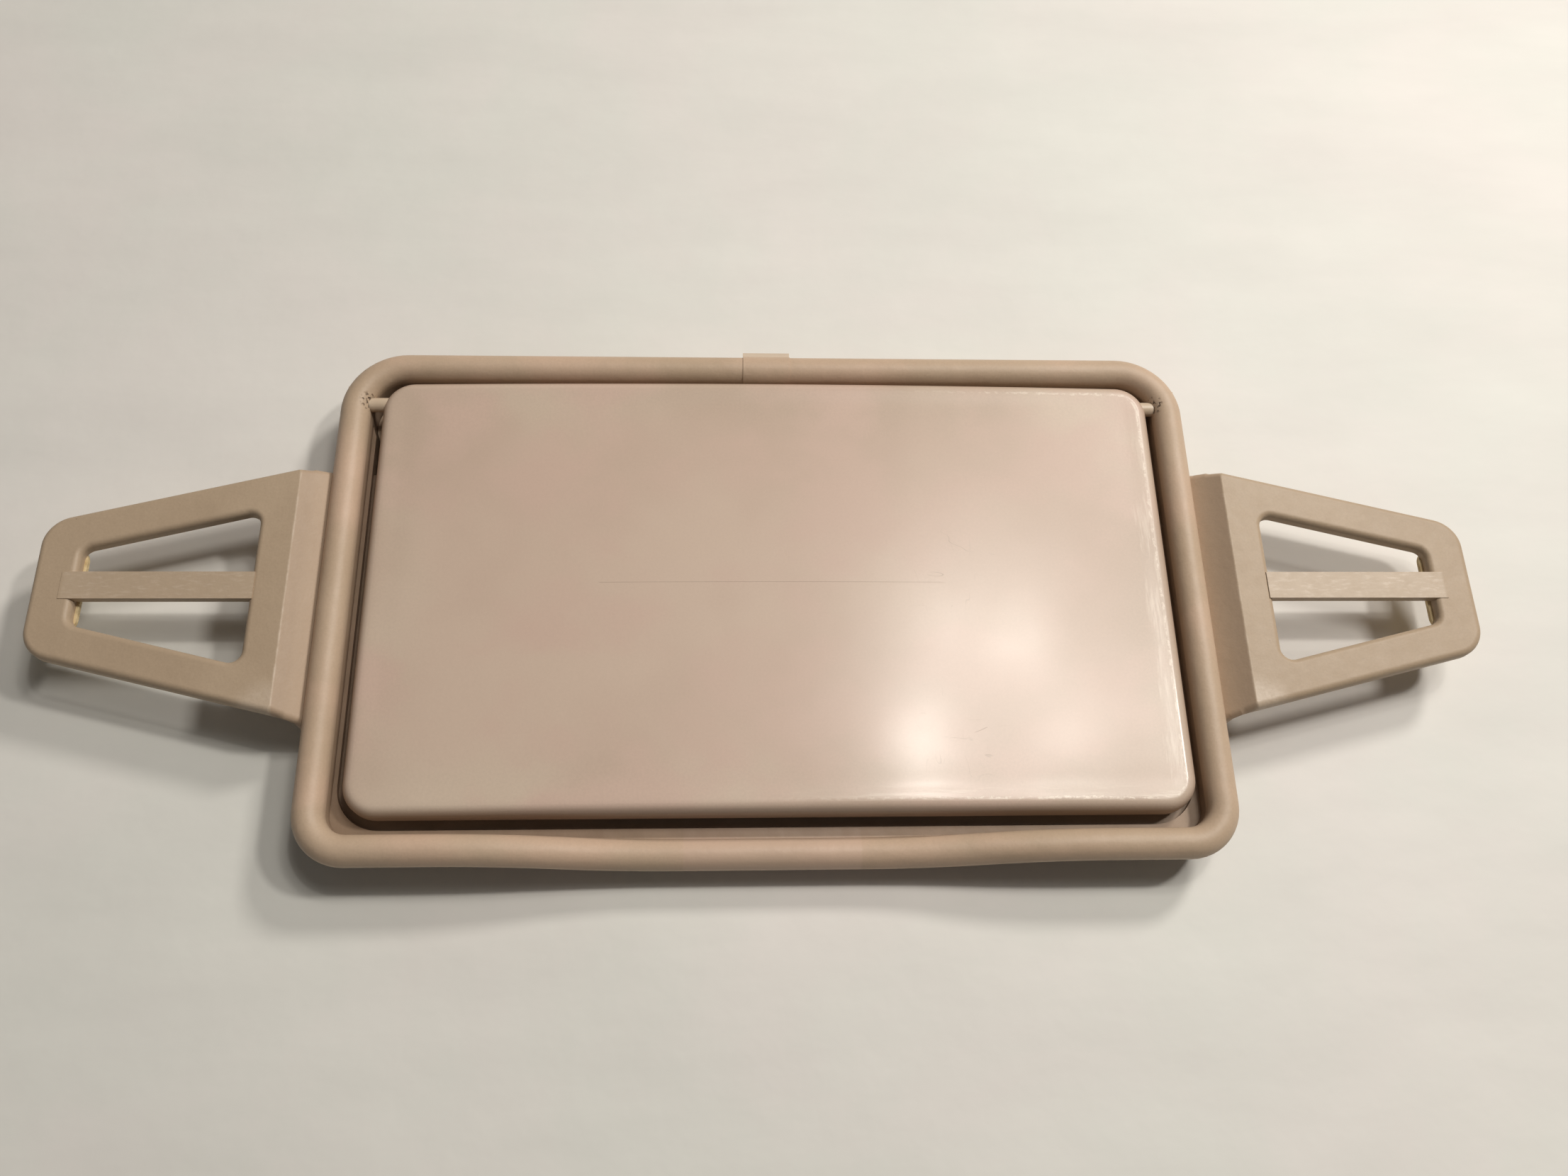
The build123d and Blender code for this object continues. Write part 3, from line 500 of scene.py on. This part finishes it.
def leaf_colour(s, edge):
    """The leaf's unworn colour: pinker away from its border, with painted shade on its rounded
    side.
    """
    colour = beige_mottle(s, LEAF_PALE, LEAF_DEEP, LEAF_PINK, fleck=0.07)
    ragged = s.math("ADD", edge, s.varied(20 * MM, -9 * MM, 9 * MM, detail=3.0))
    colour = s.tint(colour, LEAF_PINK, s.step(ragged, 6 * MM, 22 * MM), 0.45)
    # Painted shade: the rounded side is darkened, as it faces away from the lamps.
    return s.tint(colour, LEAF_SIDE_SHADE, s.step(edge, 2.2 * MM, 0.2 * MM), 0.55)


def leaf_plastic(low, high):
    """Leaf: smoother than the frame, rubbed to a shine on the right and along the front edge."""
    s = Shader("leaf_plastic")
    edge, x, y = s.attribute(EDGE_DISTANCE), s.axis("X"), s.axis("Y")
    on_top = s.step(edge, 2.4 * MM, 2.9 * MM)
    rubbed = s.times(on_top, leaf_rub(s, x, y, high))
    scuffed = s.times(rubbed, leaf_streaks(s, x, y, low, high))
    line = leaf_edge_line(s, edge, x, y)
    crazed = leaf_crazing(s, low, high)

    worn = s.math("MAXIMUM", line, s.times(scuffed, 0.55))
    colour = s.tint(leaf_colour(s, edge), WORN, worn, 0.85)
    colour = s.tint(colour, SPECK, crazed, 0.22)
    colour = add_specks(s, colour, 15 * MM)

    s.bump(s.noise(12 * MM), 0.05 * MM)
    grain_on_side = s.times(s.flip(on_top), s.noise(GRAIN_SIZE, detail=3.0, roughness=0.6))
    s.bump(grain_on_side, GRAIN)
    s.bump(s.noise(1.2 * MM, detail=3.0), 0.007 * MM)
    s.bump(scuffed, SCRATCH_RELIEF)
    s.bump(s.flip(line), CRACK_RELIEF)
    s.bump(s.flip(crazed), CRACK_RELIEF)

    uneven = {"detail": 3.0, "roughness": 0.6}
    gloss = s.varied(16 * MM, *LEAF_GLOSS, **uneven)
    rough = s.blend(on_top, 0.50, s.blend(rubbed, s.varied(20 * MM, *LEAF_MATT), gloss))
    polish = s.times(rubbed, s.varied(16 * MM, 0.20, 0.95, **uneven))
    return s.finish(
        colour,
        rough,
        IOR=PLASTIC_IOR,
        Coat_Weight=s.between(polish, *LEAF_COAT),
        Coat_Roughness=0.15,
        Coat_IOR=COAT_IOR,
    )


def clip_plastic(rear_y):
    """Clip: the rim's own colour over the bead, and painted light that makes the tab behind it
    paler.
    """
    s = Shader("clip_plastic")
    colour = beige_mottle(s, FRAME_PALE, FRAME_DEEP, FRAME_PINK)
    tab = s.step(s.axis("Y"), *(rear_y - forward for forward in TAB_FROM_REAR))
    # Painted light: the tab is made paler where it catches the lamps from behind.
    colour = s.tint(colour, CLIP_TAB_PAINTED_LIGHT, tab, 0.8)
    leathery_grain(s, GRAIN)
    return s.finish(colour, s.varied(4 * MM, *CLIP_ROUGHNESS), IOR=PLASTIC_IOR)


def plain_plastic(name, pale, deep, rough, grain):
    """A moulding with soft patches, a little grain and a few specks."""
    s = Shader(name)
    colour = s.mix(s.patches(8 * MM, 0.3, 0.7, detail=3.0), pale, deep)
    colour = add_specks(s, colour, 9 * MM)
    s.bump(s.noise(GRAIN_SIZE, detail=3.0), grain)
    return s.finish(colour, s.varied(3 * MM, rough - 0.05, rough + 0.07), IOR=PLASTIC_IOR)


def old_foam():
    """Yellowed foam pad: open cells, darker and greasier in places."""
    s = Shader("old_foam")
    colour = s.mix(s.patches(4 * MM, 0.3, 0.7, detail=3.0), FOAM_PALE, FOAM_DEEP)
    s.bump(s.cells(0.9 * MM), 0.12 * MM)
    return s.finish(colour, s.varied(2 * MM, 0.7, 0.9), IOR=FOAM_IOR)


def rubber():
    """Grey-brown rubber with dust on it."""
    s = Shader("rubber")
    colour = s.mix(s.patches(2 * MM, 0.45, 0.75, detail=4.0), RUBBER_DARK, RUBBER_DUSTY)
    s.bump(s.noise(0.5 * MM), 0.02 * MM)
    return s.finish(colour, s.varied(3 * MM, 0.65, 0.85), IOR=RUBBER_IOR)


def plated_steel():
    """Zinc-plated steel, slightly stained."""
    s = Shader("plated_steel")
    colour = s.mix(s.patches(1.5 * MM, 0.4, 0.8, detail=3.0), STEEL_CLEAN, STEEL_STAINED)
    s.bump(s.noise(0.2 * MM, vector=s.stretched(1.0, 6.0, 1.0)), 0.004 * MM)
    return s.finish(colour, s.varied(1 * MM, 0.28, 0.5), Metallic=1.0)


def floor_material():
    """Pale painted surface with a faint uneven wash."""
    s = Shader("pale_floor")
    wash = {"detail": 5.0, "roughness": 0.6}
    colour = s.mix(s.patches(110 * MM, 0.35, 0.65, distortion=0.4, **wash), FLOOR_COOL, FLOOR_WARM)
    turned = s.stretched(0.5, 1.6, 1.0, turn=0.4)
    colour = s.shade(colour, s.varied(50 * MM, 0.90, 1.08, vector=turned, **wash))
    s.bump(s.noise(30 * MM, detail=4.0), 0.5 * MM)
    return s.finish(colour, s.varied(50 * MM, 0.5, 0.65, detail=3.0), IOR=PAINT_IOR)


# ------------------------------------------------------------------ mesh building
def new_piece(name, vertices, faces, material):
    """A mesh object in the scene, with its material."""
    mesh = bpy.data.meshes.new(name)
    mesh.from_pydata(vertices, [], faces)
    mesh.validate()
    piece = bpy.data.objects.new(name, mesh)
    piece.data.materials.append(material)
    bpy.context.scene.collection.objects.link(piece)
    return piece


def corner_arc(x, y, radius, begin, steps):
    """Points of a quarter circle, anticlockwise from the angle begin."""
    angles = (math.radians(begin + 90.0 * i / steps) for i in range(steps + 1))
    return [Vector((x + radius * math.cos(a), y + radius * math.sin(a))) for a in angles]


def rounded_loop(low, high, inset, radius):
    """Points round a rounded rectangle drawn in by an inset, as many whatever the inset."""
    left, right = low.x + inset, high.x - inset
    front, rear = low.y + inset, high.y - inset
    r = max(radius - inset, SMALLEST)
    arcs = [
        corner_arc(right - r, rear - r, r, 0.0, CORNER_STEPS),
        corner_arc(left + r, rear - r, r, 90.0, CORNER_STEPS),
        corner_arc(left + r, front + r, r, 180.0, CORNER_STEPS),
        corner_arc(right - r, front + r, r, 270.0, CORNER_STEPS),
    ]
    points = []
    for number, arc in enumerate(arcs):
        points.extend(arc)
        steps = LONG_STEPS if number % 2 == 0 else SHORT_STEPS
        target = arcs[(number + 1) % 4][0]
        points.extend(arc[-1].lerp(target, i / steps) for i in range(1, steps))
    return points


def loops_to_faces(loop_count, loop_length):
    """Quads between neighbouring loops."""
    faces = []
    for i in range(loop_count - 1):
        a, b = i * loop_length, (i + 1) * loop_length
        for j in range(loop_length):
            k = (j + 1) % loop_length
            faces.append((a + j, a + k, b + k, b + j))
    return faces


def weld(piece, distance):
    """Joins points that lie together and makes the faces point outward."""
    mesh = bmesh.new()
    mesh.from_mesh(piece.data)
    bmesh.ops.remove_doubles(mesh, verts=mesh.verts, dist=distance)
    bmesh.ops.dissolve_degenerate(mesh, edges=mesh.edges, dist=distance / 10)
    bmesh.ops.recalc_face_normals(mesh, faces=mesh.faces)
    mesh.to_mesh(piece.data)
    mesh.free()


def waviness(x, y):
    """Unevenness of the moulded leaf, in metres: broad waves with smaller ones on them."""
    broad = noise.noise(Vector((x / WAVE_SIZE, y / WAVE_SIZE, WAVE_LAYER)))
    small = noise.noise(Vector((x / RIPPLE_SIZE, y / RIPPLE_SIZE, RIPPLE_LAYER)))
    return WAVE_HEIGHT * broad + RIPPLE_HEIGHT * small


class LeafShape:
    """The leaf's section: crowned top, rounded edge, small under-radius and a rebate below."""

    edge = 3.0 * MM
    under = 1.2 * MM
    crown = 1.8 * MM
    corner = 9.0 * MM
    rebate = 2.6 * MM
    rebate_depth = 1.5 * MM
    border = 5.0 * MM

    def __init__(self, low, high):
        self.low, self.high = low, high
        half = (high.x - low.x) / 2
        self.centre_x = (low.x + high.x) / 2
        self.bend = (half**2 + self.crown**2) / (2 * self.crown)
        self.half_depth = (high.y - low.y) / 2
        self.vertices, self.insets, self.loops = [], [], 0

    def top(self, x):
        """Height of the crown, which is level from front to rear."""
        return self.high.z - (self.bend - math.sqrt(self.bend**2 - (x - self.centre_x) ** 2))

    def add_loop(self, inset, height):
        """One loop of points at an inset, with height(x, y) as their Z."""
        for p in rounded_loop(self.low, self.high, inset, self.corner):
            self.vertices.append((p.x, p.y, height(p.x, p.y)))
            self.insets.append(inset)
        self.loops += 1

    def add_underside(self):
        ceiling = self.low.z + self.rebate_depth
        for inset in (self.half_depth - SMALLEST, self.half_depth / 2, self.rebate):
            self.add_loop(inset, lambda x, y: ceiling)
        for inset in (self.rebate, self.under + 0.4 * MM):
            self.add_loop(inset, lambda x, y: self.low.z)
        for i in range(UNDER_STEPS + 1):
            a = math.radians(90.0 * i / UNDER_STEPS)
            rise = self.under * (1 - math.cos(a))
            self.add_loop(self.under * (1 - math.sin(a)), lambda x, y: self.low.z + rise)

    def add_side(self):
        foot = self.low.z + self.under
        for share in (0.25, 0.5, 0.75, 1.0):
            self.add_loop(0.0, lambda x, y: foot + share * (self.top(x) - self.edge - foot))
        for i in range(1, EDGE_STEPS + 1):
            a = math.radians(90.0 * i / EDGE_STEPS)
            fall = self.edge * (1 - math.sin(a))
            self.add_loop(self.edge * (1 - math.cos(a)), lambda x, y: self.top(x) - fall)

    def add_top(self):
        insets = [self.edge + TOP_STEP * i * TOP_GROWTH**i for i in range(1, TOP_LOOPS + 1)]
        insets = [inset for inset in insets if inset < self.half_depth - 4 * MM]
        insets += [self.half_depth - 1.5 * MM, self.half_depth - SMALLEST]
        for inset in insets:
            share = min(1.0, (inset - self.edge) / self.border)
            sink = LEAF_SINK * share * share * (3 - 2 * share)
            self.add_loop(inset, lambda x, y: self.top(x) - sink + share * waviness(x, y))


def make_leaf():
    """Leaf: one closed shell with a slightly sunken, slightly wavy top."""
    low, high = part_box("leaf_panel")
    shape = LeafShape(low, high)
    shape.add_underside()
    shape.add_side()
    shape.add_top()
    faces = loops_to_faces(shape.loops, len(shape.vertices) // shape.loops)
    piece = new_piece("leaf_shell", shape.vertices, faces, leaf_plastic(low, high))
    values = piece.data.attributes.new(EDGE_DISTANCE, "FLOAT", "POINT")
    values.data.foreach_set("value", shape.insets)
    weld(piece, WELD)
    piece.data.shade_smooth()
    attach(piece, "leaf")
    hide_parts("leaf_panel")


def dress(material, *names):
    """Gives CAD nodes a material in place of the one that they came with."""
    for name in names:
        nodes[name].data.materials.clear()
        nodes[name].data.materials.append(material)


# ------------------------------------------------------------------ the object
def dress_object():
    """A material for every CAD node but the leaf's, which make_leaf replaces."""
    frame_low, frame_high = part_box("tray_frame")
    pin_low, pin_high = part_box("hinge_pin_right")
    handle_low, handle_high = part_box("handle_right")
    crest_x = frame_high.x + CREST_FROM_FRAME
    socket_place = (frame_high.x - BEAD_WIDTH, (pin_low.y + pin_high.y) / 2, pin_high.z)
    crest_front = (crest_x, handle_low.y + 1.5 * MM, handle_high.z)
    pan = plain_plastic("pan_plastic", FRAME_DEEP, PAN_DEEP, rough=0.55, grain=0.03 * MM)
    back = plain_plastic("back_plastic", LEAF_DEEP, FRAME_DEEP, rough=0.5, grain=0.025 * MM)
    pin = plain_plastic("pin_plastic", PIN_PALE, PIN_DEEP, rough=0.3, grain=0.006 * MM)
    handle = handle_plastic(crest_x, crest_front, handle_high.x, handle_high.z)
    dress(frame_plastic(frame_low, frame_high, socket_place), "tray_frame")
    dress(handle, "handle_left", "handle_right")
    dress(clip_plastic(frame_high.y), "rear_clip")
    dress(pan, "base_pan")
    dress(back, "leaf_back")
    dress(pin, "hinge_pin_left", "hinge_pin_right")
    dress(old_foam(), "tip_pad_left", "tip_pad_right")
    dress(
        rubber(),
        "leaf_rests",
        "foot_front_left",
        "foot_front_right",
        "foot_rear_left",
        "foot_rear_right",
    )
    dress(plated_steel(), "pan_screws", "handle_screws_left", "handle_screws_right", "leaf_screws")


# ------------------------------------------------------------------ stage, lights and camera
WARM_WHITE = (1.0, 0.95, 0.88)
DAY_WHITE = (1.0, 0.98, 0.95)
SHADE_TINT = (1.0, 0.91, 0.82)
SHADE_STRENGTH = 0.065
FLOOR_HALF = 3.0
LAMP_DISTANCE = 1.4
WINDOW_DISTANCE = 1.8
PHOTO_WIDTH = 2212.0
FOCAL_LENGTH = 1855.0
SENSOR = 36.0
CAMERA_PLACE = (-0.013235, -0.13847, 0.358387)
CAMERA_PITCH = 67.698
CAMERA_YAW = 7.089
CAMERA_ROLL = 6.548
CAMERA_NEAREST = 0.01


def add_floor():
    """A plain square floor under the feet."""
    half = FLOOR_HALF
    mesh = bpy.data.meshes.new("floor")
    corners = [(-half, -half, 0), (half, -half, 0), (half, half, 0), (-half, half, 0)]
    mesh.from_pydata(corners, [], [(0, 1, 2, 3)])
    floor = bpy.data.objects.new("floor", mesh)
    bpy.context.scene.collection.objects.link(floor)
    floor.data.materials.append(floor_material())


def add_lamp(
    name, towards, size, power, colour=WARM_WHITE, distance=LAMP_DISTANCE, shape="DISK"
):
    """A soft lamp that shines at the tray from the given direction."""
    lamp = bpy.data.lights.new(name, "AREA")
    lamp.shape = shape
    lamp.size = size
    lamp.energy = power
    lamp.color = colour
    obj = bpy.data.objects.new(name, lamp)
    direction = Vector(towards).normalized()
    obj.location = direction * distance
    obj.rotation_mode = "QUATERNION"
    obj.rotation_quaternion = direction.to_track_quat("Z", "Y")
    bpy.context.scene.collection.objects.link(obj)


def add_lamps():
    """Bulbs and a panel that show in the leaf, stronger lamps beyond it, and a soft fill."""
    add_lamp("bulb_near", towards=(3.8, 4.4, 18), size=0.06, power=1.25)
    add_lamp("bulb_left", towards=(4.4, 6.5, 18), size=0.08, power=0.50)
    add_lamp("bulb_middle", towards=(5.9, 6.3, 18), size=0.08, power=0.75)
    add_lamp("bulb_right", towards=(6.8, 4.5, 18), size=0.10, power=0.65)
    add_lamp("panel", towards=(5.0, 4.8, 18), size=0.46, power=3.5, shape="SQUARE")
    add_lamp("lamp_low", towards=(12.0, 4.6, 18), size=0.12, power=5.1)
    add_lamp("lamp_far", towards=(14.0, 14.5, 18), size=0.22, power=7.4)
    add_lamp(
        "window",
        towards=(-16, -10, 14),
        size=1.2,
        power=0.7,
        colour=DAY_WHITE,
        distance=WINDOW_DISTANCE,
    )


def add_world():
    """A weak, slightly warm light from all round, which fills the shadows."""
    world = bpy.data.worlds.new("studio")
    world.use_nodes = True
    background = world.node_tree.nodes["Background"]
    background.inputs["Color"].default_value = (*SHADE_TINT, 1.0)
    background.inputs["Strength"].default_value = SHADE_STRENGTH
    bpy.context.scene.world = world


def add_camera():
    """A phone's camera held over the tray's front edge and looking down."""
    pitch, yaw, roll = (math.radians(a) for a in (CAMERA_PITCH, CAMERA_YAW, CAMERA_ROLL))
    forward = Vector(
        (math.sin(yaw) * math.cos(pitch), math.cos(yaw) * math.cos(pitch), -math.sin(pitch))
    )
    level = Vector((math.cos(yaw), -math.sin(yaw), 0.0))
    rise = level.cross(forward)
    right = math.cos(roll) * level + math.sin(roll) * rise
    top = math.cos(roll) * rise - math.sin(roll) * level
    data = bpy.data.cameras.new("camera")
    data.sensor_width = SENSOR
    data.lens = SENSOR * FOCAL_LENGTH / PHOTO_WIDTH
    data.clip_start = CAMERA_NEAREST
    camera = bpy.data.objects.new("camera", data)
    turned = Matrix((right, top, -forward)).transposed().to_4x4()
    camera.matrix_world = Matrix.Translation(CAMERA_PLACE) @ turned
    bpy.context.scene.collection.objects.link(camera)
    bpy.context.scene.camera = camera


dress_object()
make_leaf()
add_floor()
add_world()
add_lamps()
add_camera()
bpy.context.scene.view_settings.view_transform = "Standard"
